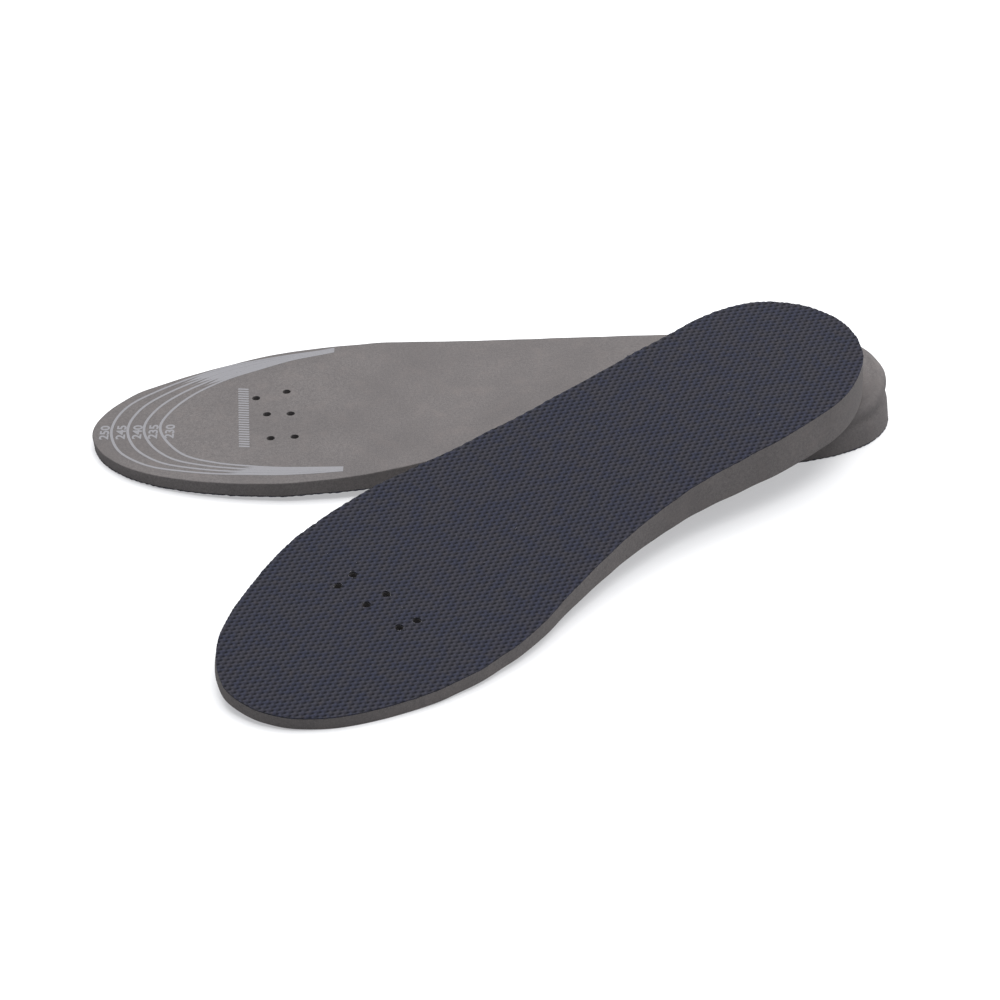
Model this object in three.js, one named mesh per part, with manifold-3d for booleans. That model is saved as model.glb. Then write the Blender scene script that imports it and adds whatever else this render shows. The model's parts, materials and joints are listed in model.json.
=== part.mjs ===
// A pair of cushioned height insoles. The right one lies sole side down, with its heel across
// the left one, which lies upside down. Each is an EVA foam base, a bonding film and a knitted
// top cover, and each bends at the ball of the foot, so every layer is a forefoot and a rear piece.
// Millimetres, +Z up. An insole's own frame has its heel at x = 0, its toe at +X and its cover
// on top; +Y is the inner side of the right one, and the left one is its mirror image.
import * as THREE from "three";
import { mergeVertices } from "three/addons/utils/BufferGeometryUtils.js";
import Module from "manifold-3d";

const wasm = await Module();
wasm.setup();

// Overall sizes of one insole
const LENGTH = 250;
const WIDTH = 83;
const HEEL_THICKNESS = 14.2;
const BALL_THICKNESS = 5.2;
const TOE_THICKNESS = 4.1;
const RAMP_START = 34; // the wedge leaves the heel seat here
const RAMP_END = 188; // and meets the ball here

// Layers
const COVER = 0.5;
const FILM = 0.2;
const FILM_EDGE = 0.5; // the film stops this far inside the edge
const GAP = 0.3; // between pieces that lie against each other

// Bending line across the ball of the foot
const FLEX_LINE = 168;

// Air holes through all the layers under the ball, as [along, across] from the heel tip at the
// drawn length. They keep their distance from the toe when the length changes. They are punched
// by hand, so the two insoles differ a little.
const HOLE_DIAMETER = 2.6;
const UPPER_HOLES = [[191, 0], [197.5, 1.5], [188, 12.5], [195.5, 13], [187.5, 27], [193.5, 26.5]];
const LOWER_HOLES = [[190.5, 0], [200, 3.5], [188.5, 13.5], [196, 13.5], [186.5, 27.5], [194, 28]];

// How the pair lies
const UPPER_TURN = 37.9; // degrees between the two lengths
const UPPER_ROLL = -7.3; // degrees, inner edge down
const UPPER_HEEL_FORWARD = 14.1; // the upper heel tip, from the lower one, towards its toe
const UPPER_HEEL_ACROSS = 3.7; // and towards its outer side
const UPPER_CURL = { toe: 0.6, heel: 1.6 }; // how far each end bends up
const LOWER_CURL = { toe: -1.3, heel: 4 };
const CURL_TOE_START = 147;
const CURL_HEEL_START = 107;

// Plan outline as drawn for one size, up the inner side and back down the outer one
const DRAWN = { length: 250, width: 83 };
const HEEL_ROUND = { halfWidth: 29.6, outerLength: 29.5, innerLength: 45 };
const INNER_SIDE = [
  [64, 30.3], [88, 30.9], [115, 35.4], [140, 42.8], [165, 51.2], [192, 54.6], [217, 51.5],
  [236, 44.2], [246.3, 34], [250, 22.5],
];
const OUTER_SIDE = [
  [247.6, 12.3], [238, -0.8], [217, -14], [195, -23.4], [165, -28.6], [130, -27.8], [90, -27.6],
  [55, -29],
];

const FACET = 4; // length of one facet along a curved face
const REACH = 60; // how far a cutting block passes the insole

const degrees = THREE.MathUtils.degToRad;
const plain = (color, roughness) => new THREE.MeshStandardMaterial({ color, roughness, metalness: 0 });
const coverMaterial = plain(0x23252e, 0.95);
const filmMaterial = plain(0xc9c6bd, 0.4);
const foamMaterial = plain(0x6b6868, 0.85);

const toSolid = (geometry) => {
  geometry.deleteAttribute("normal");
  geometry.deleteAttribute("uv");
  const merged = mergeVertices(geometry, 1e-4);
  return new wasm.Manifold(new wasm.Mesh({
    numProp: 3,
    vertProperties: new Float32Array(merged.attributes.position.array),
    triVerts: new Uint32Array(merged.index.array),
  }));
};

const toMesh = (solid, name, material) => {
  const { vertProperties, triVerts } = solid.getMesh();
  const geometry = new THREE.BufferGeometry();
  geometry.setAttribute("position", new THREE.BufferAttribute(vertProperties, 3));
  geometry.setIndex(new THREE.BufferAttribute(triVerts, 1));
  geometry.computeVertexNormals();
  const mesh = new THREE.Mesh(geometry, material);
  mesh.name = name;
  return mesh;
};

// Closed plan outline, graded to the named size. side is 1 for a right foot and -1 for a left.
const outline = (side) => {
  const heel = Array.from({ length: 7 }, (_, i) => {
    const angle = degrees(30 * i);
    const { halfWidth, outerLength, innerLength } = HEEL_ROUND;
    const reach = i < 3 ? outerLength : innerLength;
    return [reach * (1 - Math.sin(angle)), -halfWidth * Math.cos(angle)];
  });
  const graded = [...heel, ...INNER_SIDE, ...OUTER_SIDE].map(([x, y]) => new THREE.Vector3(
    (x * LENGTH) / DRAWN.length, (side * y * WIDTH) / DRAWN.width, 0));
  const curve = new THREE.CatmullRomCurve3(graded, true, "centripetal");
  const points = curve.getSpacedPoints(Math.round(curve.getLength() / FACET)).slice(0, -1);
  const tip = Math.max(...points.map((p) => p.x));
  const back = Math.min(...points.map((p) => p.x));
  return points.map((p) => new THREE.Vector2(((p.x - back) * LENGTH) / (tip - back), p.y));
};

// The outline moved inwards by a distance
const inset = (points, distance) => points.map((point, i) => {
  const before = points.at(i - 1);
  const after = points[(i + 1) % points.length];
  const along = after.clone().sub(before).normalize();
  const inward = new THREE.Vector2(-along.y, along.x);
  return point.clone().addScaledVector(inward, THREE.ShapeUtils.isClockWise(points) ? -distance : distance);
});

const thickness = (x) => {
  const wedge = THREE.MathUtils.smoothstep(RAMP_END - x, 0, RAMP_END - RAMP_START);
  const toeThinning = Math.max(0, (x - RAMP_END) / (LENGTH - RAMP_END));
  return BALL_THICKNESS + (HEEL_THICKNESS - BALL_THICKNESS) * wedge
    - (BALL_THICKNESS - TOE_THICKNESS) * toeThinning;
};

// Height of the sole side, where the foam has taken a set
const curl = (x, ends) => {
  const toeward = Math.max(0, (x - CURL_TOE_START) / (LENGTH - CURL_TOE_START));
  const heelward = Math.max(0, (CURL_HEEL_START - x) / CURL_HEEL_START);
  return ends.toe * toeward ** 2 + ends.heel * heelward ** 2;
};

// A layer between two heights of the side view, cut from a full-width slab by the plan outline
const layer = (plan, ends, low, high, from, to) => {
  const count = Math.ceil((to - from) / FACET);
  const stations = Array.from({ length: count + 1 }, (_, i) => from + ((to - from) * i) / count);
  const side = new THREE.Shape([
    ...stations.map((x) => new THREE.Vector2(x, curl(x, ends) + low(x))),
    ...stations.reverse().map((x) => new THREE.Vector2(x, curl(x, ends) + high(x))),
  ]);
  const slab = new THREE.ExtrudeGeometry(side, { depth: 2 * WIDTH, bevelEnabled: false });
  slab.rotateX(degrees(90)).translate(0, WIDTH, 0);
  const prism = new THREE.ExtrudeGeometry(new THREE.Shape(plan), { depth: 2 * REACH, bevelEnabled: false });
  prism.translate(0, 0, -REACH);
  return toSolid(slab).intersect(toSolid(prism));
};

const cutHoles = (solid, holes, side) => holes.reduce((cut, [along, across]) => {
  const hole = new THREE.CylinderGeometry(HOLE_DIAMETER / 2, HOLE_DIAMETER / 2, 2 * REACH, 12);
  hole.rotateX(degrees(90));
  hole.translate(LENGTH - DRAWN.length + along, side * across, 0);
  return cut.subtract(toSolid(hole));
}, solid);

// One insole in its own frame: three layers, each in two pieces that meet at the bending line
const insole = (name, side, ends, holes) => {
  const plan = outline(side);
  const group = new THREE.Group();
  const coverBottom = (x) => thickness(x) - COVER;
  const filmTop = (x) => coverBottom(x) - GAP;
  const filmBottom = (x) => filmTop(x) - FILM;
  const foamTop = (x) => filmBottom(x) - GAP;
  const layers = [
    ["foam", plan, () => 0, foamTop, foamMaterial],
    ["bond_film", inset(plan, FILM_EDGE), filmBottom, filmTop, filmMaterial],
    ["top_cover", plan, coverBottom, thickness, coverMaterial],
  ];
  for (const [label, edge, low, high, material] of layers) {
    const rear = layer(edge, ends, low, high, -REACH, FLEX_LINE - GAP / 2);
    const forefoot = layer(edge, ends, low, high, FLEX_LINE + GAP / 2, LENGTH + REACH);
    group.add(toMesh(cutHoles(rear, holes, side), `${name}_rear_${label}`, material));
    group.add(toMesh(cutHoles(forefoot, holes, side), `${name}_forefoot_${label}`, material));
  }
  return group;
};

const lowest = (points) => Math.min(...points.map((point) => point.z));
const inWorld = (group, points) => {
  group.updateMatrixWorld(true);
  return points.map((point) => point.clone().applyMatrix4(group.matrixWorld));
};
const isInside = (edge, point) => edge.reduce((inside, a, i) => {
  const b = edge[(i + 1) % edge.length];
  const crosses = (a.y > point.y) !== (b.y > point.y)
    && point.x < a.x + ((b.x - a.x) * (point.y - a.y)) / (b.y - a.y);
  return crosses ? !inside : inside;
}, false);
const rim = (edge, height) => edge.map((p) => new THREE.Vector3(p.x, p.y, height(p.x)));

const lower = insole("lower", -1, LOWER_CURL, LOWER_HOLES);
const upper = insole("upper", 1, UPPER_CURL, UPPER_HOLES);
const lowerPlan = outline(-1);
const upperPlan = outline(1);
const soleOf = (ends) => (x) => curl(x, ends);
const coverOf = (ends) => (x) => curl(x, ends) + thickness(x);

// The lower insole is turned over, and tips until its cover meets the floor at heel and toe.
const [heelRest, toeRest] = [0, LENGTH].map(coverOf(LOWER_CURL));
lower.rotation.set(degrees(180), Math.asin((heelRest - toeRest) / LENGTH), degrees(180), "ZYX");
lower.position.z = -lowest(inWorld(lower, rim(lowerPlan, coverOf(LOWER_CURL))));

// Points all over the lower insole's upturned sole side, for the other one to rest on
const soleGrid = [];
for (let x = 0; x <= LENGTH; x += FACET) {
  for (let y = -WIDTH; y <= WIDTH; y += FACET) {
    const point = new THREE.Vector3(x, y, curl(x, LOWER_CURL));
    if (isInside(lowerPlan, point)) soleGrid.push(point);
  }
}
const support = inWorld(lower, [...soleGrid, ...rim(lowerPlan, soleOf(LOWER_CURL))]);

// The upper insole, tipped by an angle with its toe on the floor, clears the lower one by this.
const clearanceAt = (tilt) => {
  upper.rotation.set(degrees(UPPER_ROLL), tilt, degrees(180 + UPPER_TURN), "ZYX");
  upper.position.set(-UPPER_HEEL_FORWARD, UPPER_HEEL_ACROSS, 0);
  upper.position.z = -lowest(inWorld(upper, rim(upperPlan, soleOf(UPPER_CURL))));
  upper.updateMatrixWorld(true);
  const below = support.map((point) => upper.worldToLocal(point.clone()));
  const covered = below.filter((point) => isInside(upperPlan, point));
  return Math.min(...covered.map((point) => curl(point.x, UPPER_CURL) - point.z));
};
let [touching, clear] = [0, degrees(20)];
for (let i = 0; i < 24; i += 1) {
  const middle = (touching + clear) / 2;
  if (clearanceAt(middle) < GAP) touching = middle;
  else clear = middle;
}
clearanceAt(clear);

// The pair's box stands on the origin, centred in plan.
const pair = new THREE.Group();
pair.add(lower, upper);
const box = new THREE.Box3().setFromObject(pair, true);
const centre = box.getCenter(new THREE.Vector3());
pair.position.set(-centre.x, -centre.y, -box.min.z);

export default pair;
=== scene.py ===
# %% [markdown]
# # A pair of cushioned height insoles
# Each insole is a wedge of closed-cell foam with a knitted mesh cover laminated on it. The right
# one lies on its sole; the left one lies upside down under its heel and shows the trim scale.
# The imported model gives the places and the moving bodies, and this lesson gives the looks.

import json
import math
import random

import bmesh
import bpy
from mathutils import Matrix, Vector, noise


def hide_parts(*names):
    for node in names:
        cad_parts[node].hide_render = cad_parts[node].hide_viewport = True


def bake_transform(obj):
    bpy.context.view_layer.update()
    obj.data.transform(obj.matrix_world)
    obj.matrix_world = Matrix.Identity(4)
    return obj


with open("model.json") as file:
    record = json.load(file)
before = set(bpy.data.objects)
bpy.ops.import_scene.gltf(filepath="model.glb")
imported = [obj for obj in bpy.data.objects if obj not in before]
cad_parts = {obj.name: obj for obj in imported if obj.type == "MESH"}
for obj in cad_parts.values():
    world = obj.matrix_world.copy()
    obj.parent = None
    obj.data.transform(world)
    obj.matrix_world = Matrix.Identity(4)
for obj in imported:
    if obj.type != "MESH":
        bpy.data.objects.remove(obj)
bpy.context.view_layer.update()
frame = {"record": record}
MM = 0.001

# %% [markdown]
# ## Camera
# A long lens a little over a metre away, looking down at about 32 degrees. It comes first,
# because every later choice of detail depends on how large a millimetre looks from here.

# %% Camera
CAMERA_PLACE = Vector((9.4, -1123.4, 725.5)) * MM
CAMERA_AIM = -0.344  # degrees, towards +X from +Y
CAMERA_DOWN = 32.364
CAMERA_ROLL = 0.657
FOCAL_LENGTH = 158.3  # on a 36 mm sensor


def make_camera():
    data = bpy.data.cameras.new("camera")
    data.lens = FOCAL_LENGTH
    data.sensor_width = 36
    data.clip_end = 20
    camera = bpy.data.objects.new("camera", data)
    bpy.context.collection.objects.link(camera)
    aim = Matrix.Rotation(math.radians(-CAMERA_AIM), 4, "Z")
    down = Matrix.Rotation(math.radians(90 - CAMERA_DOWN), 4, "X")
    roll = Matrix.Rotation(math.radians(CAMERA_ROLL), 4, "Z")
    camera.matrix_world = Matrix.Translation(CAMERA_PLACE) @ aim @ down @ roll
    bpy.context.scene.camera = camera
    return camera


camera = make_camera()
print("camera", round(camera.data.lens, 1), "mm lens")

# %% [markdown]
# ## Nodes as sentences
# A material is a graph of nodes. Writing the maths as Python expressions keeps it readable, so
# one small class wraps a socket and adds a Math node for each operator. Every other node comes
# from one method, which sets the node up first and then fills in its sockets.

# %% A class that wraps a socket
class Socket:
    """One output of a node tree, with arithmetic."""

    def __init__(self, tree, output):
        self.tree = tree
        self.output = output

    def math(self, operation, *values):
        return self.node("ShaderNodeMath", {"operation": operation}, dict(enumerate(values)))

    def node(self, kind, settings=None, inputs=None, output=0):
        made = self.tree.nodes.new(kind)
        for name, value in (settings or {}).items():
            setattr(made, name, value)
        for name, value in (inputs or {}).items():
            if isinstance(value, Socket):
                self.tree.links.new(value.output, made.inputs[name])
            else:
                made.inputs[name].default_value = value
        return Socket(self.tree, made.outputs[output])

    def __add__(self, other):
        return self.math("ADD", self, other)

    def __sub__(self, other):
        return self.math("SUBTRACT", self, other)

    def __rsub__(self, other):
        return self.math("SUBTRACT", other, self)

    def __mul__(self, other):
        return self.math("MULTIPLY", self, other)

    __radd__ = __add__
    __rmul__ = __mul__

    def cos(self):
        return self.math("COSINE", self)

    def clamp(self):
        return self.node("ShaderNodeClamp", {}, {"Value": self})

    def fit(self, low, high):
        """0 at low and 1 at high, smoothly."""
        inputs = {"Value": self, "From Min": low, "From Max": high}
        return self.node("ShaderNodeMapRange", {"interpolation_type": "SMOOTHSTEP"}, inputs)

    def span(self, low, high):
        """0 at low and 1 at high, in a straight line."""
        inputs = {"Value": self, "From Min": low, "From Max": high}
        return self.node("ShaderNodeMapRange", {}, inputs)

    def blend(self, first, second):
        """A colour that is first where this is 0 and second where it is 1."""
        inputs = {0: self, 6: first, 7: second}
        return self.node("ShaderNodeMix", {"data_type": "RGBA"}, inputs, output=2)


def new_material(name, roughness, **fixed):
    """A material, its principled shader, and a Socket to start its graph from.

    Other inputs that are the same all over are named with underscores for spaces.
    """
    material = bpy.data.materials.new(name)
    material.use_nodes = True
    shader = material.node_tree.nodes["Principled BSDF"]
    shader.inputs["Roughness"].default_value = roughness
    for label, value in fixed.items():
        shader.inputs[label.replace("_", " ")].default_value = value
    start = Socket(material.node_tree, None)
    return material, shader, start


def plug(value, shader, label):
    value.tree.links.new(value.output, shader.inputs[label])


def noise_at(start, place, scale, detail=2, roughness=0.5):
    inputs = {"Vector": place, "Scale": scale, "Detail": detail, "Roughness": roughness}
    return start.node("ShaderNodeTexNoise", {}, inputs)


def bump(start, height, distance, strength):
    inputs = {"Height": height, "Distance": distance, "Strength": strength}
    return start.node("ShaderNodeBump", {}, inputs)


def srgb(red, green, blue):
    """A screen colour as the linear colour that shaders use."""
    def linear(value):
        value /= 255
        return value / 12.92 if value <= 0.04045 else ((value + 0.055) / 1.055) ** 2.4
    return (linear(red), linear(green), linear(blue), 1)


print("shader helpers ready")

# %% [markdown]
# ## Table and light
# The pair lies on a seamless white table in a light tent: one large soft source overhead, a weak
# one at the side, and a little cool light from all round. The table must come out pure white,
# with only a soft shadow where the foam meets it. A table lit from above alone would have hard
# dark edges there, so this one also glows a little, like opal acrylic over lamps.

# %% Table, lights and surroundings
TABLE_HALF = 6.0
TABLE_COLOR = (0.38, 0.38, 0.38, 1)
TABLE_GLOW = 0.42
TABLE_GLOW_COLOR = (0.98, 0.98, 1, 1)
TOP_LIGHT_PLACE = (0.1, 0.4, 1.6)
TOP_LIGHT_SIZE = 2.4
TOP_LIGHT_POWER = 100
SIDE_LIGHT_PLACE = (1.7, 0.1, 0.7)
SIDE_LIGHT_SIZE = 1.0
SIDE_LIGHT_POWER = 13
SURROUND = 0.37
SURROUND_COLOR = (0.86, 0.93, 1.04, 1)


def make_table():
    bm = bmesh.new()
    bmesh.ops.create_grid(bm, x_segments=1, y_segments=1, size=TABLE_HALF)
    mesh = bpy.data.meshes.new("table_top")
    bm.to_mesh(mesh)
    bm.free()
    table = bpy.data.objects.new("table_top", mesh)
    bpy.context.collection.objects.link(table)
    material, _, _ = new_material(
        "white_table", 0.6, Base_Color=TABLE_COLOR, Specular_IOR_Level=0.1,
        Emission_Color=TABLE_GLOW_COLOR, Emission_Strength=TABLE_GLOW,
    )
    mesh.materials.append(material)


def make_light(name, place, size, power):
    """A square softbox that points at the middle of the pair."""
    data = bpy.data.lights.new(name, "AREA")
    data.shape = "SQUARE"
    data.size = size
    data.energy = power
    light = bpy.data.objects.new(name, data)
    light.location = place
    light.rotation_euler = (-Vector(place)).to_track_quat("-Z", "Y").to_euler()
    bpy.context.collection.objects.link(light)


make_table()
make_light("overhead_softbox", TOP_LIGHT_PLACE, TOP_LIGHT_SIZE, TOP_LIGHT_POWER)
make_light("side_softbox", SIDE_LIGHT_PLACE, SIDE_LIGHT_SIZE, SIDE_LIGHT_POWER)
world = bpy.data.worlds.new("tent")
world.use_nodes = True
world.node_tree.nodes["Background"].inputs["Color"].default_value = SURROUND_COLOR
world.node_tree.nodes["Background"].inputs["Strength"].default_value = SURROUND
bpy.context.scene.world = world
bpy.context.scene.view_settings.view_transform = "Standard"
print("table", TABLE_HALF * 2, "m square, and two softboxes")

# %% [markdown]
# ## Where each insole lies
# Every insole is modelled flat in its own frame, heel at zero and toe at +X with the cover on
# top, in millimetres, and then placed. The record holds enough to find each frame: the sole
# mount points away from the cover, and the toe hinge lies along the bending line, on the face
# that the toe bends to. That is the cover, or the sole of the insole that lies upside down.

# %% Sizes and frames of the two insoles
LENGTH = 250
HEEL_THICKNESS = 14.2
BALL_THICKNESS = 5.2
TOE_THICKNESS = 4.1
RAMP_START = 34
RAMP_END = 188
COVER = 0.5
FILM = 0.2
FILM_EDGE = 0.5
FLEX_LINE = 168
HOLE_DIAMETER = 2.6
CURL_TOE_START = 147
CURL_HEEL_START = 107
INSOLES = {
    "upper": {
        "side": 1, "toe_curl": 0.6, "heel_curl": 1.6, "bends_to": "cover",
        "holes": [(191, 0), (197.5, 1.5), (188, 12.5), (195.5, 13), (187.5, 27), (193.5, 26.5)],
    },
    "lower": {
        "side": -1, "toe_curl": -1.3, "heel_curl": 4, "bends_to": "sole",
        "holes": [(190.5, 0), (200, 3.5), (188.5, 13.5), (196, 13.5), (186.5, 27.5), (194, 28)],
    },
}


def smoothstep(value):
    value = min(max(value, 0), 1)
    return value * value * (3 - 2 * value)


def thickness(x):
    wedge = smoothstep((RAMP_END - x) / (RAMP_END - RAMP_START))
    thinning = max(0, (x - RAMP_END) / (LENGTH - RAMP_END))
    extra = (HEEL_THICKNESS - BALL_THICKNESS) * wedge
    return BALL_THICKNESS + extra - (BALL_THICKNESS - TOE_THICKNESS) * thinning


def sole(x, insole):
    """Height of the sole side, which has taken a set at both ends."""
    toeward = max(0, (x - CURL_TOE_START) / (LENGTH - CURL_TOE_START))
    heelward = max(0, (CURL_HEEL_START - x) / CURL_HEEL_START)
    return insole["toe_curl"] * toeward ** 2 + insole["heel_curl"] * heelward ** 2


def face_height(x, insole):
    """Height of the cover's face."""
    return sole(x, insole) + thickness(x)


def placing(name):
    """Own frame in millimetres to the row frame in metres, from the hinge and the sole mount."""
    record = frame["record"]
    hinge = next(j for j in record["behaviour"]["joints"] if j["name"] == name + "_toe_flex")
    mount = next(m for m in record["mounts"] if m["name"] == name + "_sole_face")
    insole = INSOLES[name]
    to_cover = insole["bends_to"] == "cover"
    across = Vector(hinge["axis"]) * (-1 if to_cover else 1)
    up = -Vector(mount["axis"])
    along = across.cross(up)
    turn = Matrix((along, across, up)).transposed().to_4x4()
    height = sole(FLEX_LINE, insole) + (thickness(FLEX_LINE) if to_cover else 0)
    hinge_own = Vector((FLEX_LINE, 0, height))
    scaled = turn @ Matrix.Scale(MM, 4)
    return Matrix.Translation(Vector(hinge["pos_m"]) - scaled @ hinge_own) @ scaled


for name, insole in INSOLES.items():
    insole["place"] = placing(name)
    heel = insole["place"] @ Vector((0, 0, 0))
    print(name, "heel tip at", [round(v / MM, 1) for v in heel], "mm")

# %% [markdown]
# ## The outline
# Insoles are die cut, so all the layers share one outline. It is a smooth closed curve through
# the few points that a pattern cutter would mark, with a heel made of two quarter rounds: a
# short one on the outer side and a longer one on the inner side. A spline tool could draw it,
# but working it out here lets every layer, inset and print use the very same curve.

# %% Plan outline
HEEL_HALF_WIDTH = 29.6
HEEL_OUTER_LENGTH = 29.5
HEEL_INNER_LENGTH = 45
INNER_SIDE = [
    (64, 30.3), (88, 30.9), (115, 35.4), (140, 42.8), (165, 51.2), (192, 54.6), (217, 51.5),
    (236, 44.2), (246.3, 34), (250, 22.5),
]
OUTER_SIDE = [
    (247.6, 12.3), (238, -0.8), (217, -14), (195, -23.4), (165, -28.6), (130, -27.8),
    (90, -27.6), (55, -29),
]
HEEL_MARKS = 6  # spaces between marks round the heel
KNIFE_WANDER = 0.25  # the knife strays this much
KNIFE_RUN = 8.0  # over about this length


def heel_points():
    points = []
    for i in range(HEEL_MARKS + 1):
        angle = math.radians(180 / HEEL_MARKS * i)
        reach = HEEL_OUTER_LENGTH if i < HEEL_MARKS / 2 else HEEL_INNER_LENGTH
        points.append((reach * (1 - math.sin(angle)), -HEEL_HALF_WIDTH * math.cos(angle)))
    return points


def smooth_through(before, start, end, after, spacing):
    """Points from start up to end on the centripetal curve through four points."""
    first, middle, last = (
        math.sqrt((b - a).length) for a, b in ((before, start), (start, end), (end, after))
    )
    leave = (start - before) / first - (end - before) / (first + middle) + (end - start) / middle
    arrive = (end - start) / middle - (after - start) / (middle + last) + (after - end) / last
    leave, arrive = leave * middle, arrive * middle
    count = max(1, round((end - start).length / spacing))
    points = []
    for i in range(count):
        t = i / count
        points.append(
            start * (2 * t ** 3 - 3 * t ** 2 + 1) + leave * (t ** 3 - 2 * t ** 2 + t)
            + end * (3 * t ** 2 - 2 * t ** 3) + arrive * (t ** 3 - t ** 2)
        )
    return points


def knife_stray(point):
    at_x, at_y = (noise.noise(Vector((*point, layer)) / KNIFE_RUN) for layer in (1, 5))
    return Vector((at_x, at_y)) * KNIFE_WANDER


def outline(side, spacing=1.0):
    """Points round the insole that lies flat, its inner side at +Y where side is 1."""
    marks = [Vector(p) for p in heel_points() + INNER_SIDE + OUTER_SIDE]
    points = []
    for i in range(len(marks)):
        four = [marks[(i + k) % len(marks)] for k in (-1, 0, 1, 2)]
        points += smooth_through(*four, spacing)
    back = min(p.x for p in points)
    tip = max(p.x for p in points)
    points = [Vector(((p.x - back) * LENGTH / (tip - back), side * p.y)) for p in points]
    for p in points:
        p += knife_stray(p)
    return points[::-1] if side > 0 else points


def area_inside(points):
    turns = zip(points, points[1:] + points[:1])
    return abs(sum(a.x * b.y - b.x * a.y for a, b in turns)) / 2


print("outline of", len(outline(1)), "points,", round(area_inside(outline(1)) / 100), "cm2")

# %% [markdown]
# ## A die-cut blank
# Foam and film are cut from sheets, so each is its outline swept up between two heights. The
# outline starts as one flat face. Cuts across it every few millimetres let it follow the wedge,
# and each extrusion adds a ring round the wall that can be pulled in, for a rounded or a
# waisted edge. A bevel would do the rounding too, but rings can also change along the insole.

# %% Helper that sweeps a blank
STATION = 3.0
CUTTER_TOP = 40  # cutters end well above the insole


def everywhere(value):
    """A height or an inset that is the same all over."""
    return lambda x, y: value


def sweep_blank(name, points, levels):
    """A closed solid. Each level is (height, inset), both functions of x and y, lowest first."""
    bm = bmesh.new()
    bm.faces.new([bm.verts.new((p.x, p.y, 0)) for p in points])
    for i in range(1, int(LENGTH / STATION) + 1):
        everything = bm.verts[:] + bm.edges[:] + bm.faces[:]
        bmesh.ops.bisect_plane(
            bm, geom=everything, plane_co=(i * STATION, 0, 0), plane_no=(1, 0, 0), dist=1e-5
        )
    inward = {}
    for edge in bm.edges:
        if edge.is_boundary:
            loop = edge.link_loops[0]
            run = loop.link_loop_next.vert.co - loop.vert.co
            for vert in edge.verts:
                pull = inward.setdefault(tuple(vert.co.xy), Vector((0, 0)))
                pull += Vector((-run.y, run.x)).normalized()
    rings = [bm.verts[:]]
    top = bm.faces[:]
    for level in range(1, len(levels)):
        made = bmesh.ops.extrude_face_region(bm, geom=top)["geom"]
        if level > 1:
            bmesh.ops.delete(bm, geom=top, context="FACES_ONLY")
        rings.append([item for item in made if isinstance(item, bmesh.types.BMVert)])
        top = [item for item in made if isinstance(item, bmesh.types.BMFace)]
        bmesh.ops.translate(bm, verts=rings[-1], vec=(0, 0, 1))
    for ring, (height, inset) in zip(rings, levels):
        for vert in ring:
            x, y = vert.co.xy
            pull = inward[tuple(vert.co.xy)].normalized() * inset(x, y)
            vert.co = (x + pull.x, y + pull.y, height(x, y))
    bmesh.ops.recalc_face_normals(bm, faces=bm.faces)
    return new_piece(name, bm)


def new_piece(name, bm):
    mesh = bpy.data.meshes.new(name)
    bm.to_mesh(mesh)
    bm.free()
    piece = bpy.data.objects.new(name, mesh)
    bpy.context.collection.objects.link(piece)
    return piece


def carve(piece, tool, operation):
    """A boolean, made at once, that uses the tool up."""
    modifier = piece.modifiers.new("carve", "BOOLEAN")
    modifier.object = tool
    modifier.operation = operation
    modifier.solver = "MANIFOLD"
    bpy.context.view_layer.update()
    carved = piece.evaluated_get(bpy.context.evaluated_depsgraph_get())
    mesh = bpy.data.meshes.new_from_object(carved)
    piece.modifiers.clear()
    piece.data = mesh
    mesh.name = piece.name
    bpy.data.objects.remove(tool)


print("a blank has about", int(LENGTH / STATION), "cuts across it")

# %% [markdown]
# ## Air holes
# Six holes go through all the layers under the ball of the foot. They are punched by hand on a
# simple jig, so they wander a little, and the two insoles differ. One set of slim cylinders per
# insole does it, with a slightly uneven radius because foam springs back unevenly round a punch.

# %% Punches
PUNCH_SIDES = 28
PUNCH_LENGTH = 60
HOLE_UNEVEN = 0.07


def make_punches(insole):
    radius = HOLE_DIAMETER / 2
    bm = bmesh.new()
    for along, across in insole["holes"]:
        place = Matrix.Translation((along, insole["side"] * across, 0))
        made = bmesh.ops.create_cone(
            bm, cap_ends=True, segments=PUNCH_SIDES, radius1=radius, radius2=radius,
            depth=PUNCH_LENGTH, matrix=place,
        )
        for vert in made["verts"]:
            out = vert.co.xy - place.translation.xy
            wobble = noise.noise(Vector((out.x * 0.9 + along, out.y * 0.9 + across, 0)))
            vert.co.xy = place.translation.xy + out * (1 + HOLE_UNEVEN * wobble)
    bmesh.ops.recalc_face_normals(bm, faces=bm.faces)
    return new_piece("punches", bm)


print(sum(len(i["holes"]) for i in INSOLES.values()), "air holes")

# %% [markdown]
# ## Foam base
# The base is closed-cell foam, skived to a wedge 14 mm high at the heel. Its wall leans out a
# little towards the sole, as the die pushed the foam aside. The left insole's heel is also
# rolled round at the sole, swells a little at the back, and has a soft waist pressed into its
# wall. All of that comes from the rings of the blank: the first ones follow a quarter circle
# whose radius grows towards the heel.

# %% Foam bases
ROLL_ANGLES = [0, 18, 36, 54, 72, 90]
WALL_LEVELS = [0.03, 0.08, 0.13, 0.2, 0.27, 0.34, 0.42, 0.5, 0.6, 0.7, 0.8, 0.9, 1.0]
HEEL_WALL = {
    "upper": {"roll": 0.8, "lean": 1.1, "waist": 0.0, "swell": 0.0},
    "lower": {"roll": 2.6, "lean": -0.5, "waist": 1.15, "swell": 2.6},
}
TOE_ROLL = 0.3
TOE_LEAN = 0.3
WAIST_AT = 0.25
WAIST_SPREAD = 0.14
HEEL_FADE = (24, 90)  # the heel's shape fades out between these
SWELL_FADE = (16, 46)
SWELL_SIDE = (-4, 16)  # the swell fades out towards the inner side
FILM_REST = 0.02  # film and cover lie this far apart from the foam


def fade(value, start, end):
    """1 before start and 0 after end."""
    return 1 - smoothstep((value - start) / (end - start))


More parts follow.
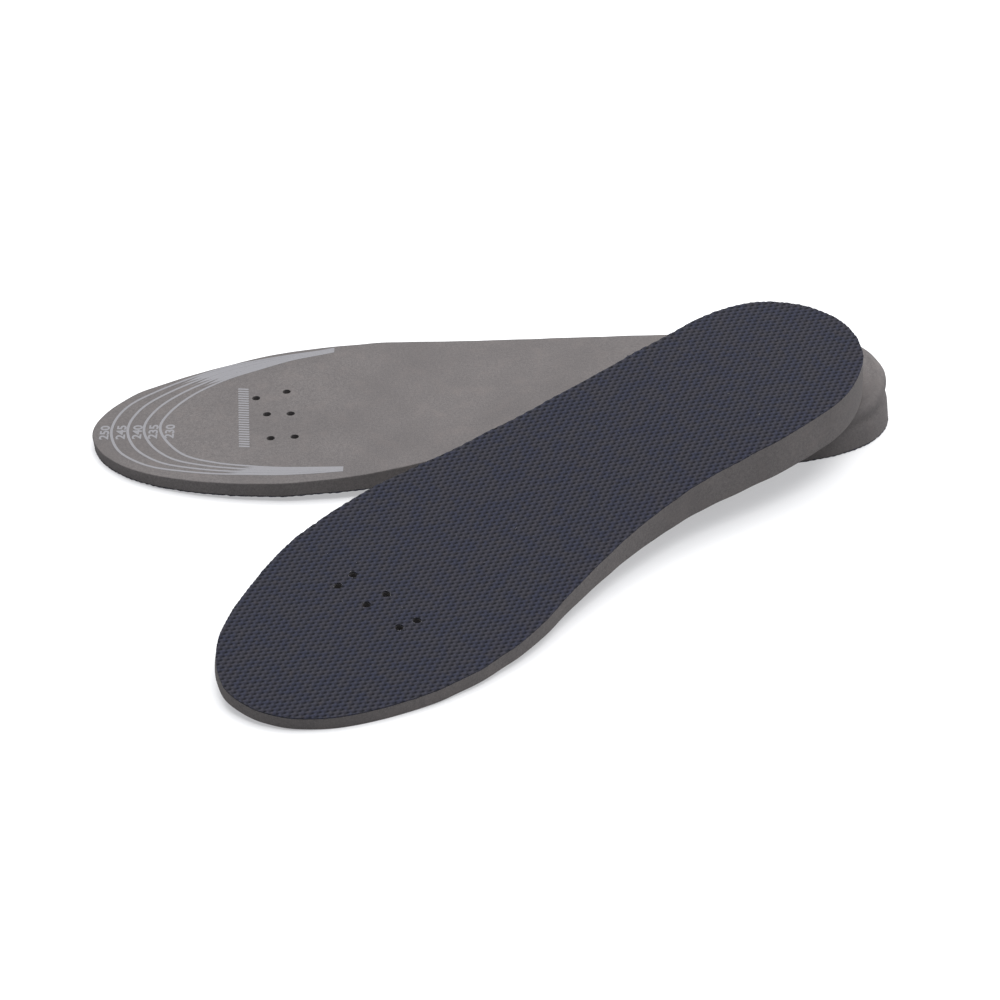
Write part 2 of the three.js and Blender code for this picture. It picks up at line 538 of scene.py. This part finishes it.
def heel_mix(at_toe, at_heel, x):
    return at_toe + (at_heel - at_toe) * fade(x, *HEEL_FADE)


def make_foam(name, insole):
    wall = HEEL_WALL[name]

    def bottom(x, y):
        swell = fade(x, *SWELL_FADE) * fade(insole["side"] * y, *SWELL_SIDE)
        return sole(x, insole) - wall["swell"] * swell

    def roll(x):
        return heel_mix(TOE_ROLL, wall["roll"], x)

    def lean(x):
        return heel_mix(TOE_LEAN, wall["lean"], x)

    def top(x):
        return face_height(x, insole) - COVER - FILM_REST

    def recess_floor(x, y):
        return top(x) - FILM - FILM_REST

    def roll_level(angle):
        rise = 1 - math.cos(math.radians(angle))
        inside = 1 - math.sin(math.radians(angle))
        return (lambda x, y: bottom(x, y) + roll(x) * rise,
                lambda x, y: roll(x) * inside - lean(x))

    def wall_level(share):
        waist = wall["waist"] * math.exp(-(((share - WAIST_AT) / WAIST_SPREAD) ** 2))
        return (lambda x, y: (bottom(x, y) + roll(x)) * (1 - share) + top(x) * share,
                lambda x, y: heel_mix(0, waist, x) - lean(x) * (1 - share))

    levels = [roll_level(angle) for angle in ROLL_ANGLES]
    levels += [wall_level(share) for share in WALL_LEVELS]
    foam = sweep_blank(name + "_foam_base", outline(insole["side"]), levels)
    recess_edge = everywhere(FILM_EDGE - 2 * FILM_REST)
    levels = [(recess_floor, recess_edge), (everywhere(CUTTER_TOP), recess_edge)]
    recess = sweep_blank("recess", outline(insole["side"]), levels)
    carve(foam, recess, "DIFFERENCE")
    carve(foam, make_punches(insole), "DIFFERENCE")
    return foam


for name, insole in INSOLES.items():
    insole["foam"] = make_foam(name, insole)
    print(name, "foam base:", len(insole["foam"].data.polygons), "faces")

# %% [markdown]
# ## Bonding film
# A hot-melt film glues the cover to the foam. It melts into the foam's skin and stops half a
# millimetre inside the edge, so it lies in a shallow recess and hardly shows from the side.

# %% Bonding films
def make_film(name, insole):
    def high(x, y):
        return face_height(x, insole) - COVER - FILM_REST

    def low(x, y):
        return high(x, y) - FILM

    levels = [(low, everywhere(FILM_EDGE)), (high, everywhere(FILM_EDGE))]
    film = sweep_blank(name + "_bonding_film", outline(insole["side"]), levels)
    carve(film, make_punches(insole), "DIFFERENCE")
    return film


for name, insole in INSOLES.items():
    insole["film"] = make_film(name, insole)
    print(name, "film:", len(insole["film"].data.polygons), "faces")

# %% [markdown]
# ## Knitted mesh cover
# The cover is a warp-knitted mesh: loops lean together in courses and leave rows of small
# elongated pits, each row shifted half a pitch from the next. The courses run at 24 degrees to
# the insole, because the cloth was cut on the slant. A picture of a knit would look flat at a low
# angle, so the pits are real: a grid is laid along the courses with its points on the pits and
# between them, pushed down at the pits, and then cut by the same outline as the foam.

# %% The knit's repeat
COURSE = Vector((2.0, -0.9))  # one pit to the next along a course
WALE = Vector((1.2, 2.9))  # to the pit two courses on
REPEAT_AREA = COURSE.x * WALE.y - COURSE.y * WALE.x
ALONG_COURSE = Vector((WALE.y, -WALE.x, 0)) / REPEAT_AREA
ACROSS_COURSE = Vector((-COURSE.y, COURSE.x, 0)) / REPEAT_AREA
# waves that make the pits: turns with the course, turns across it, weight, lag in degrees
WAVES = [(-1, 1, 1.0, 0), (0, 2, 1.0, 0), (2, 0, 0.45, 130), (-1, 3, 0.3, -40), (1, 1, 0.25, 55)]
LOOP_TOP = -1.7  # the wave's value on a loop
PIT_MIDDLE = 2.3
PIT_DEPTH = 0.32


def knit_wave(s, t, cos=math.cos):
    """Highest at the middle of a pit and lowest on the loops, from turns along and across."""
    waves = [cos(s * i + t * j + math.radians(lag)) * weight for i, j, weight, lag in WAVES]
    return sum(waves[1:], waves[0])


def pit_share(x, y):
    s = math.tau * (ALONG_COURSE.x * x + ALONG_COURSE.y * y)
    t = math.tau * (ACROSS_COURSE.x * x + ACROSS_COURSE.y * y)
    return min(max((knit_wave(s, t) - LOOP_TOP) / (PIT_MIDDLE - LOOP_TOP), 0), 1)


print("a pit every", round(COURSE.length, 2), "mm; courses", round(WALE.length / 2, 2), "mm apart")

# %% [markdown]
# ## Cut the covers out
# The cloth is a grid sheared to the courses, so each pit gets the same few faces wherever it
# lies. Its rim is extruded down and closed to make a slab, because the cut is a boolean
# intersection and needs a solid. The cutter is a blank whose underside is the cover's back. A
# modifier that displaces the finished cover would be shorter, but its faces would not line up
# with the slanting courses, and the pits would come out ragged.

# %% Covers
GRID_ALONG = 4  # faces in one repeat
GRID_ACROSS = 8
CLOTH_MIDDLE = (47, 18)  # repeats along and across the courses, from the heel
CLOTH_HALF = (64, 32)  # half the cloth's size in repeats
CLOTH_X = (-2, LENGTH + 2)  # the part of it that is kept for cutting
CLOTH_Y = (-33, 59)
CLOTH_FOOT = -30  # the slab's underside, far below the cut
LOOSENESS = 0.05  # how much the cloth's surface wanders
LOOSE_RUN = 7  # over about this length
LOOP_CHANGE = 0.8  # turns of the finer wander in a millimetre
CUT_WANDER = 0.16
CUT_STEP = 0.7  # between points round the cut


def lay_cloth(name, insole):
    """A slab of cloth, wider than the insole, with its knitted face on top."""
    side = insole["side"]
    centre = COURSE * CLOTH_MIDDLE[0] + WALE * CLOTH_MIDDLE[1]
    centre.y *= side
    half_along, half_across = CLOTH_HALF
    bm = bmesh.new()
    frame_of_cloth = Matrix((
        (COURSE.x * half_along, WALE.x * half_across, 0, centre.x),
        (COURSE.y * half_along, WALE.y * half_across, 0, centre.y),
        (0, 0, 1, 0), (0, 0, 0, 1),
    ))
    bmesh.ops.create_grid(
        bm, x_segments=2 * half_along * GRID_ALONG, y_segments=2 * half_across * GRID_ACROSS,
        size=1,
    )
    bmesh.ops.transform(bm, matrix=frame_of_cloth, verts=bm.verts)
    spare = [
        v for v in bm.verts
        if not (CLOTH_X[0] < v.co.x < CLOTH_X[1] and CLOTH_Y[0] < side * v.co.y < CLOTH_Y[1])
    ]
    bmesh.ops.delete(bm, geom=spare, context="VERTS")
    for vert in bm.verts:
        x, y = vert.co.xy
        pit = pit_share(x, y)
        wander = LOOSENESS * noise.noise(Vector((x, y, 0)) / LOOSE_RUN)
        loop = 0.5 * LOOSENESS * noise.noise(Vector((x, y, 40)) * LOOP_CHANGE)
        vert.co.z = face_height(x, insole) - PIT_DEPTH * pit + wander + loop
    rim = [edge for edge in bm.edges if edge.is_boundary]
    made = bmesh.ops.extrude_edge_only(bm, edges=rim)["geom"]
    for item in made:
        if isinstance(item, bmesh.types.BMVert):
            item.co.z = CLOTH_FOOT
    bmesh.ops.holes_fill(bm, edges=[e for e in bm.edges if e.is_boundary], sides=0)
    bmesh.ops.recalc_face_normals(bm, faces=bm.faces)
    return new_piece(name + "_top_cover", bm)


def cut_stray(point):
    at_x, at_y = (noise.noise(Vector((*point, layer))) for layer in (9, 17))
    return Vector((at_x, at_y)) * CUT_WANDER


def make_cover(name, insole):
    def back(x, y):
        return face_height(x, insole) - COVER

    cover = lay_cloth(name, insole)
    edge = [p + cut_stray(p) for p in outline(insole["side"], CUT_STEP)]
    levels = [(back, everywhere(0)), (everywhere(CUTTER_TOP), everywhere(0))]
    cutter = sweep_blank("cover_cutter", edge, levels)
    carve(cover, cutter, "INTERSECT")
    carve(cover, make_punches(insole), "DIFFERENCE")
    return cover


for name, insole in INSOLES.items():
    insole["cover"] = make_cover(name, insole)
    mesh = insole["cover"].data
    mesh.calc_loop_triangles()
    print(name, "cover:", len(mesh.loop_triangles), "triangles")

# %% [markdown]
# ## Trim scale
# The sole carries a scale for cutting the insole down to a smaller shoe: four toe lines that
# run together along both sides, a size by each step, and a slim bar behind them. It is screen
# printed, so it stands proud by a hair. An image could carry it, but ribbons of real ink stay
# sharp at any distance. The lines share out the room between an inner and an outer curve, and
# further ribbons fill the gaps where the lines run together.

# %% Scale lines
LINE_WIDTH = 0.85
LINE_COUNT = 4
INK_HEIGHT = 0.03
INK_ROOT = 0.03  # how far the ink reaches into the foam
INK_STEP = 0.004  # overlapping ribbons differ by this, so that no two faces coincide
INNER_LINE = [
    (170.5, 46.5), (190, 45.6), (200, 44.1), (210, 41.8), (220, 37.1), (226.7, 28),
    (229.2, 19.5), (226.7, 10.7), (220, 0.3), (210, -8.7), (200, -14.5), (190, -19.7),
    (180, -23), (176.5, -24.2),
]
OUTER_LINE = [
    (170.5, 48.5), (180, 49.3), (190, 49.6), (200, 49), (210, 48.2), (220, 46.3), (230, 43.3),
    (236.7, 38.7), (241, 33.7), (243.7, 26.7), (244.4, 20.5), (243, 12.7), (239.3, 5.3),
    (230, -3.7), (220, -11), (210, -16.8), (200, -20.2), (190, -22.9), (180, -25.1),
    (176.5, -26.3),
]
LINE_STEPS = 80  # on each side of the toe
MERGE_INNER = 209  # behind this the lines fill out into one band on the inner side
MERGE_OUTER = 227  # and behind this on the outer side
MERGE_RUN = 14
MERGE_LEAST = 0.02  # the filling starts this wide
CURVE_STEP = 0.5


def evenly(points, count):
    """Points at equal steps along a polyline."""
    lengths = [0]
    for a, b in zip(points, points[1:]):
        lengths.append(lengths[-1] + (b - a).length)
    found = []
    i = 0
    for k in range(count + 1):
        goal = lengths[-1] * k / count
        while i < len(points) - 2 and lengths[i + 1] < goal:
            i += 1
        share = (goal - lengths[i]) / (lengths[i + 1] - lengths[i])
        found.append(points[i].lerp(points[i + 1], share))
    return found


def toe_line(marks):
    """A smooth line through the marks, in even steps to the foremost one and on from it."""
    marks = [Vector(m) for m in marks]
    ends = [marks[0] * 2 - marks[1]] + marks + [marks[-1] * 2 - marks[-2]]
    points = []
    for i in range(1, len(ends) - 2):
        points += smooth_through(*ends[i - 1:i + 3], CURVE_STEP)
    points.append(marks[-1])
    front = max(range(len(points)), key=lambda i: points[i].x)
    return evenly(points[:front + 1], LINE_STEPS)[:-1] + evenly(points[front:], LINE_STEPS)


def add_ribbon(bm, points, widths, insole, height=INK_HEIGHT):
    """A closed strip of ink along points on the sole, with a width at each."""
    side = insole["side"]
    points = [Vector((p.x, side * p.y)) for p in points]
    sides = []
    ends = zip([points[0]] + points[:-1], points[1:] + [points[-1]], widths)
    for before, after, width in ends:
        run = (after - before).normalized()
        sides.append(Vector((-run.y, run.x)) * width / 2)
    chain = [bm.verts.new((*(p - s), 0)) for p, s in zip(points, sides)]
    edges = [bm.edges.new(pair) for pair in zip(chain, chain[1:])]
    bmesh.ops.extrude_edge_only(bm, edges=edges)
    far = [next(e.other_vert(v) for e in v.link_edges if e.other_vert(v) not in chain)
           for v in chain]
    for vert, s in zip(far, sides):
        vert.co.xy += s * 2
    strip = {face for vert in chain for face in vert.link_faces}
    made = bmesh.ops.extrude_face_region(bm, geom=list(strip))["geom"]
    outer = [item for item in made if isinstance(item, bmesh.types.BMVert)]
    for vert in chain + far:
        vert.co.z = sole(vert.co.x, insole) + INK_ROOT
    for vert in outer:
        vert.co.z = sole(vert.co.x, insole) - height


def print_lines(insole):
    bm = bmesh.new()
    inner, outer = toe_line(INNER_LINE), toe_line(OUTER_LINE)
    for k in range(LINE_COUNT):
        share = k / (LINE_COUNT - 1)
        points = [a.lerp(b, share) for a, b in zip(inner, outer)]
        add_ribbon(bm, points, [LINE_WIDTH] * len(points), insole, INK_HEIGHT + INK_STEP * k)
    for first, merge in ((0, MERGE_INNER), (LINE_STEPS, MERGE_OUTER)):
        pairs = list(zip(inner, outer))[first:first + LINE_STEPS + 1]
        pairs = [(a, b) for a, b in pairs if b.x < merge]
        gaps = LINE_COUNT - 1
        widths = [
            (a - b).length / gaps * smoothstep((merge - b.x) / MERGE_RUN) + MERGE_LEAST
            for a, b in pairs
        ]
        for k in range(gaps):
            points = [a.lerp(b, (k + 0.5) / gaps) for a, b in pairs]
            add_ribbon(bm, points, widths, insole, INK_HEIGHT - INK_STEP * (k + 1))
    return bm


print("toe lines", round(toe_line(OUTER_LINE)[LINE_STEPS].x, 1), "mm to",
      round(toe_line(INNER_LINE)[LINE_STEPS].x, 1), "mm from the heel")

# %% [markdown]
# ## Bar behind the scale
# A slim bar across the sole closes the scale towards the heel. It is a row of slanted strokes,
# each a short ribbon of ink made by the same helper as the lines.

# %% Bar of slanted strokes
BAR_START = Vector((202, 32.5))
BAR_END = Vector((204.4, -2.3))
BAR_WIDTH = 3.3
STROKE_PITCH = 1.45
STROKE_WIDTH = 0.8
STROKE_SLANT = 0.7
STROKE_POINTS = 4


def print_bar(bm, insole):
    run = (BAR_END - BAR_START).normalized()
    across = Vector((-run.y, run.x))
    count = int((BAR_END - BAR_START).length / STROKE_PITCH)
    for i in range(count + 1):
        middle = BAR_START + run * STROKE_PITCH * i
        lean = run * STROKE_SLANT / 2
        start = middle - across * BAR_WIDTH / 2 - lean
        end = middle + across * BAR_WIDTH / 2 + lean
        points = [start.lerp(end, k / (STROKE_POINTS - 1)) for k in range(STROKE_POINTS)]
        add_ribbon(bm, points, [STROKE_WIDTH] * STROKE_POINTS, insole)
    return count + 1


print("bar:", round((BAR_END - BAR_START).length, 1), "mm long and", BAR_WIDTH, "mm wide")

# %% [markdown]
# ## Size numerals
# A size in millimetres stands by each line, narrow and close to it. A text object gives the
# digits. It is made a mesh, scaled to the printed height and run, and laid on the sole point by
# point, because the sole is not quite flat at the toe.

# %% Size numerals
SIZES = {250: 246.5, 245: 241.3, 240: 236.2, 235: 231.2, 230: 226}  # size: place from heel
NUMERAL_HEIGHT = 3.0
NUMERAL_RUN = 8.3
NUMERAL_MIDDLE = 22.5
NUMERAL_WEIGHT = 0.03


def print_numeral(bm, size, along, insole):
    """One number, read with the toe up by someone who looks at the sole."""
    text = bpy.data.curves.new("numeral", "FONT")
    text.body = str(size)
    text.resolution_u = 4
    text.offset = NUMERAL_WEIGHT
    text.extrude = (INK_HEIGHT + INK_ROOT) / 2
    writer = bpy.data.objects.new("numeral", text)
    bpy.context.collection.objects.link(writer)
    bpy.context.view_layer.update()
    mesh = bpy.data.meshes.new_from_object(writer)
    bpy.data.objects.remove(writer)
    xs = [v.co.x for v in mesh.vertices]
    ys = [v.co.y for v in mesh.vertices]
    run = NUMERAL_RUN / (max(xs) - min(xs))
    rise = NUMERAL_HEIGHT / (max(ys) - min(ys))
    for vert in mesh.vertices:
        x = along + (vert.co.y - (max(ys) + min(ys)) / 2) * rise
        y = insole["side"] * NUMERAL_MIDDLE + (vert.co.x - (max(xs) + min(xs)) / 2) * run
        depth = (INK_ROOT - INK_HEIGHT) / 2 - vert.co.z
        vert.co = (x, y, sole(x, insole) + depth)
    bm.from_mesh(mesh)
    bpy.data.meshes.remove(mesh)


print("numerals:", ", ".join(str(size) for size in SIZES))

# %% [markdown]
# ## Print both soles
# Lines, bar and numerals go into one mesh for each insole, as they are one coat of ink. The
# plan mirrors between a left and a right insole but the numerals must not, so every helper
# mirrors its places and leaves the digits as they read.

# %% Printing
def make_print(name, insole):
    bm = print_lines(insole)
    strokes = print_bar(bm, insole)
    for size, along in SIZES.items():
        print_numeral(bm, size, along, insole)
    bmesh.ops.remove_doubles(bm, verts=bm.verts, dist=1e-4)
    bmesh.ops.recalc_face_normals(bm, faces=bm.faces)
    return new_piece(name + "_trim_scale", bm), strokes


for name, insole in INSOLES.items():
    insole["print"], strokes = make_print(name, insole)
    print(name, "trim scale:", LINE_COUNT, "lines,", len(SIZES), "sizes,", strokes, "strokes")

# %% [markdown]
# ## Loose fibres
# A cut knit always shows a few filament ends: a fringe round the edge, pale tufts where the
# punch tore the holes, and specks of lint on the face. They are thin bent curves given a small
# round section and made into one mesh. The random numbers are seeded, so each run is the same.

# %% Fibres and lint
EDGE_FIBRES = 260
HOLE_FIBRES = 5
LINT = 26
LINT_X = (8, LENGTH - 10)  # where lint lies on the face
LINT_Y = (-22, 26)
EDGE_LENGTH = (0.25, 0.7)  # shortest and longest
HOLE_LENGTH = (0.4, 0.9)
LINT_LENGTH = (0.3, 0.9)
FIBRE_ROOT = 0.15  # how deep in the cloth a fibre starts
FIBRE_RADIUS = 0.045
FIBRE_BEND = 0.3  # how far a fibre strays, in its own lengths
FIBRE_TAPER = 0.6
FIBRE_SPANS = 3
LINT_THICKER = 1.3
LINT_LIES = 0.04  # its middle above the face


def add_fibre(curve, start, heading, length, droop, dice):
    """A bent and tapered filament from start."""
    spline = curve.splines.new("POLY")
    spline.points.add(FIBRE_SPANS)
    bend = Vector((dice.uniform(-1, 1), dice.uniform(-1, 1), dice.uniform(-0.4, 0.4)))
    for i, point in enumerate(spline.points):
        t = i / FIBRE_SPANS
        place = start + heading * length * t + bend * length * FIBRE_BEND * t * t
        place.z -= droop * length * t * t
        point.co = (*place, 1)
        point.radius = 1 - FIBRE_TAPER * t


def fibre_curve(radius):
    curve = bpy.data.curves.new("fibres", "CURVE")
    curve.dimensions = "3D"
    curve.bevel_depth = radius
    curve.bevel_resolution = 1
    curve.use_fill_caps = True
    return curve


def as_piece(curve, name):
    holder = bpy.data.objects.new(name, curve)
    bpy.context.collection.objects.link(holder)
    bpy.context.view_layer.update()
    mesh = bpy.data.meshes.new_from_object(holder)
    bpy.data.objects.remove(holder)
    piece = bpy.data.objects.new(name, mesh)
    bpy.context.collection.objects.link(piece)
    return piece


def make_edge_fibres(name, insole, dice):
    curve = fibre_curve(FIBRE_RADIUS)
    edge = outline(insole["side"])
    for _ in range(EDGE_FIBRES):
        i = dice.randrange(len(edge))
        run = (edge[(i + 1) % len(edge)] - edge[i]).normalized()
        outward = Vector((run.y, -run.x, dice.uniform(-0.3, 0.5)))
        outward += Vector((run.x, run.y, 0)) * dice.uniform(-1.2, 1.2)
        x, y = edge[i]
        place = Vector((x, y, face_height(x, insole) - dice.uniform(0.1, 0.6)))
        place -= Vector((run.y, -run.x, 0)) * FIBRE_ROOT
        add_fibre(curve, place, outward.normalized(), dice.uniform(*EDGE_LENGTH), 0.2, dice)
    return as_piece(curve, name + "_edge_fibres")


def make_lint(name, insole, dice):
    curve = fibre_curve(FIBRE_RADIUS * LINT_THICKER)
    for along, across in insole["holes"]:
        for _ in range(HOLE_FIBRES):
            angle = dice.uniform(0, math.tau)
            out = Vector((math.cos(angle), math.sin(angle), 0))
            height = face_height(along, insole) - FIBRE_ROOT
            middle = Vector((along, insole["side"] * across, height))
            heading = Vector((-out.y, out.x, 0)) * dice.choice((-1, 1))
            heading += out * dice.uniform(-0.5, 0.3)
            heading.z = dice.uniform(0.1, 0.4)
            start = middle + out * (HOLE_DIAMETER / 2 + 0.1)
            add_fibre(curve, start, heading.normalized(), dice.uniform(*HOLE_LENGTH), 0.3, dice)
    for _ in range(LINT):
        x = dice.uniform(*LINT_X)
        y = insole["side"] * dice.uniform(*LINT_Y)
        heading = Vector((dice.uniform(-1, 1), dice.uniform(-1, 1), 0.1)).normalized()
        start = Vector((x, y, face_height(x, insole) + LINT_LIES))
        add_fibre(curve, start, heading, dice.uniform(*LINT_LENGTH), 0.1, dice)
    return as_piece(curve, name + "_lint")


dice = random.Random(7)
for name, insole in INSOLES.items():
    insole["fibres"] = make_edge_fibres(name, insole, dice)
    insole["lint"] = make_lint(name, insole, dice)
    print(name, "fibres:", len(insole["fibres"].data.polygons), "faces")

# %% [markdown]
# ## Foam finish
# Closed-cell foam is matt and finely grained: cells of a few tenths of a millimetre, some of
# them opened by the knife, in a grey that is a touch warm and drifts slightly over the sheet.
# The opened cells are dented, and darkened with painted shade.
# Every finish reads the place that a point had on the flat insole, kept on the mesh as an
# attribute, so the grain bends with the piece.

# %% Foam material
FOAM_COLOR = srgb(92, 88, 87)
FOAM_DARK = srgb(67, 64, 64)
FOAM_WARM = srgb(91, 85, 83)
FOAM_SPOT = srgb(40, 38, 42)
FOAM_GRAIN = 2.6  # grains in a millimetre
FOAM_CELLS = 1.7  # opened cells in a millimetre
SPOT_SCALE = 0.07  # one stray dark cell in about 14 mm
PLACE = "laid_flat"


def flat_place(start):
    return start.node("ShaderNodeAttribute", {"attribute_name": PLACE}, {}, output=1)


def foam_grain(start, place):
    return noise_at(start, place, FOAM_GRAIN, 3, 0.65)


def foam_finish():
    material, shader, start = new_material("foam_grey", 0.92, Specular_IOR_Level=0.22)
    place = flat_place(start)
    grain = foam_grain(start, place)
    drift = noise_at(start, place, 0.035, 2)
    blotch = noise_at(start, place, 0.16, 3)
    cells = start.node("ShaderNodeTexVoronoi", {}, {"Vector": place, "Scale": FOAM_CELLS})
    pores = 1 - cells.fit(0.05, 0.34)
    fleck = noise_at(start, place, 1.1, 3, 0.7)
    light = grain.fit(0.25, 0.75) * 0.6 + fleck.fit(0.3, 0.7) * 0.4
    color = light.blend(FOAM_DARK, FOAM_COLOR)
    color = (blotch.fit(0.45, 0.75) * 0.35).blend(color, FOAM_WARM)
    color = (drift.fit(0.35, 0.7) * 0.35).blend(color, FOAM_DARK)
    # the opened cells are darkened: painted shade in them
    color = (pores * 0.3).blend(color, FOAM_DARK)
    spots = start.node("ShaderNodeTexVoronoi", {}, {"Vector": place, "Scale": SPOT_SCALE})
    color = (1 - spots.fit(0.012, 0.03)).blend(color, FOAM_SPOT)
    plug(color, shader, "Base Color")
    plug(bump(start, grain - pores * 0.8, 0.00008, 0.6), shader, "Normal")
    return material


foam_material = foam_finish()
print("foam finish:", len(foam_material.node_tree.nodes), "nodes")

# %% [markdown]
# ## Knit finish
# The yarn is a dark navy polyester. The pits are painted nearly black as painted shade, because
# light hardly gets into them. The same wave that pushed the pits down gives that painted shade
# and a finer bump, and a faster wave along the courses stands for the filaments; the strands and
# the fuzz are painted lighter, a painted highlight. A little sheen stands for the fine fuzz, which
# catches light at a low angle.

# %% Knit material
YARN = srgb(39, 38, 45)
YARN_BLUE = srgb(32, 34, 48)
YARN_WARM = srgb(42, 39, 42)
# painted highlight on the yarn's strands and fuzz
YARN_LIT = srgb(53, 53, 61)
# painted shade for the pits of the knit, nearly black
PIT_SHADE = srgb(6, 7, 12)
FILAMENTS = 9  # to a course


def knit_finish():
    material, shader, start = new_material(
        "navy_knit", 0.9, Specular_IOR_Level=0.12, Sheen_Weight=0.03, Sheen_Roughness=0.5,
    )
    place = flat_place(start)

    def phase(direction):
        inputs = {0: place, 1: tuple(direction * math.tau)}
        return start.node("ShaderNodeVectorMath", {"operation": "DOT_PRODUCT"}, inputs, output=1)

    wobble = noise_at(start, place, 0.9, 2) - 0.5
    along = phase(ALONG_COURSE) + wobble * 0.5
    across = phase(ACROSS_COURSE) + wobble * 0.4
    pit = knit_wave(along, across, Socket.cos).span(LOOP_TOP, PIT_MIDDLE)
    strands = (across * FILAMENTS + along.cos() * 1.6).cos() * 0.5 + 0.5
    fuzz = noise_at(start, place, 3.2, 2, 0.6)
    patch = noise_at(start, place, 0.22, 2)
    stain = noise_at(start, place, 0.55, 2)
    yarn = patch.fit(0.35, 0.65).blend(YARN_BLUE, YARN)
    yarn = (stain.fit(0.5, 0.72) * 0.7).blend(yarn, YARN_WARM)
    # the strands and fuzz are lightened: a painted highlight on the filaments
    shade = (fuzz.fit(0.3, 0.75) * 0.3 + strands * 0.12).clamp()
    yarn = shade.blend(yarn, YARN_LIT)
    # the pits are darkened: painted shade in them
    plug(pit.blend(yarn, PIT_SHADE), shader, "Base Color")
    height = fuzz * 0.35 + strands * 0.18 - pit * 0.9
    plug(bump(start, height, 0.00022, 0.7), shader, "Normal")
    return material


knit_material = knit_finish()
print("knit finish:", len(knit_material.node_tree.nodes), "nodes")

# %% [markdown]
# ## Film, ink and fibre finishes
# The film is a milky thermoplastic with a dull gloss. The ink is a thin pale grey coat, broken
# up where the foam's cells did not take it. Edge fibres are the yarn's colour, and lint is pale.

# %% Film, ink and fibre materials
FILM_COLOR = srgb(90, 88, 88)
FILM_PALE = srgb(112, 110, 108)
INK_COLOR = srgb(95, 94, 97)
INK_WORN = srgb(82, 80, 82)
FIBRE_DARK = srgb(26, 27, 34)
FIBRE_PALE = srgb(54, 54, 60)
LINT_DARK = srgb(60, 60, 66)
LINT_PALE = srgb(104, 103, 104)


def film_finish():
    material, shader, start = new_material("milky_film", 0.45)
    place = flat_place(start)
    cloud = noise_at(start, place, 0.5, 3)
    plug(cloud.fit(0.3, 0.7).blend(FILM_COLOR, FILM_PALE), shader, "Base Color")
    plug(bump(start, cloud, 0.0001, 0.4), shader, "Normal")
    return material


def ink_finish():
    material, shader, start = new_material("pale_ink", 0.6)
    place = flat_place(start)
    grain = foam_grain(start, place)
    wear = noise_at(start, place, 0.7, 3)
    missed = (grain.fit(0.5, 0.8) * 0.5 + wear.fit(0.55, 0.8) * 0.3).clamp()
    plug(missed.blend(INK_COLOR, INK_WORN), shader, "Base Color")
    plug(bump(start, grain, 0.00006, 0.5), shader, "Normal")
    return material


def fibre_finish(name, dark, pale):
    material, shader, start = new_material(name, 0.8)
    tint = noise_at(start, flat_place(start), 0.8, 1)
    plug(tint.fit(0.35, 0.65).blend(dark, pale), shader, "Base Color")
    return material


finishes = {
    "foam": foam_material, "film": film_finish(), "cover": knit_material, "print": ink_finish(),
    "fibres": fibre_finish("yarn_ends", FIBRE_DARK, FIBRE_PALE),
    "lint": fibre_finish("pale_lint", LINT_DARK, LINT_PALE),
}
print("finishes:", ", ".join(m.name for m in finishes.values()))

# %% [markdown]
# ## Put each piece in its place
# Each piece keeps its flat place as an attribute, and then its mesh moves into the shared frame,
# so its object stays at the origin. All the layers cross the bending line in one piece; a real
# foot bends them over 40 mm there. The model's rear and forefoot parts that foam, film and cover
# stand for are hidden.

# %% Place and finish
BEND = (148, 188)
SHARP = math.radians(38)
FLAT_FROM = 0.985  # foam faces this level are shaded flat
STANDS_FOR = {"foam": "foam", "film": "bond_film", "cover": "top_cover"}


def settle(piece, kind, name, insole):
    mesh = piece.data
    flat = [kind in ("foam", "film") and abs(face.normal.z) > FLAT_FROM for face in mesh.polygons]
    laid = mesh.attributes.new(PLACE, "FLOAT_VECTOR", "POINT")
    laid.data.foreach_set("vector", [c for vert in mesh.vertices for c in vert.co])
    mesh.transform(insole["place"])
    mesh.shade_smooth()
    mesh.set_sharp_from_angle(angle=SHARP)
    for face, is_flat in zip(mesh.polygons, flat):
        face.use_smooth = not is_flat
    mesh.materials.clear()
    mesh.materials.append(finishes[kind])
    start, end = (insole["place"] @ Vector((x, 0, 0)) for x in BEND)
    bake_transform(piece)
    if kind in STANDS_FOR:
        nodes = [f"{name}_{part}_{STANDS_FOR[kind]}" for part in ("rear", "forefoot")]
        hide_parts(*nodes)


for name, insole in INSOLES.items():
    for kind in finishes:
        settle(insole[kind], kind, name, insole)
    print(name, "placed:", ", ".join(insole[kind].name for kind in finishes))

# %% [markdown]
# ## What is soft
# The foam is a firm pad. The cover is cloth cut to the outline and glued down, so it has no
# slack to hang or fold, and its flat size is the insole's own.

WIDTH = max(p.y for p in outline(1)) - min(p.y for p in outline(1))
for name, insole in INSOLES.items():
    area_inside(outline(insole["side"])) * MM * MM
print("cover flat size", round(WIDTH, 1), "by", LENGTH, "mm")
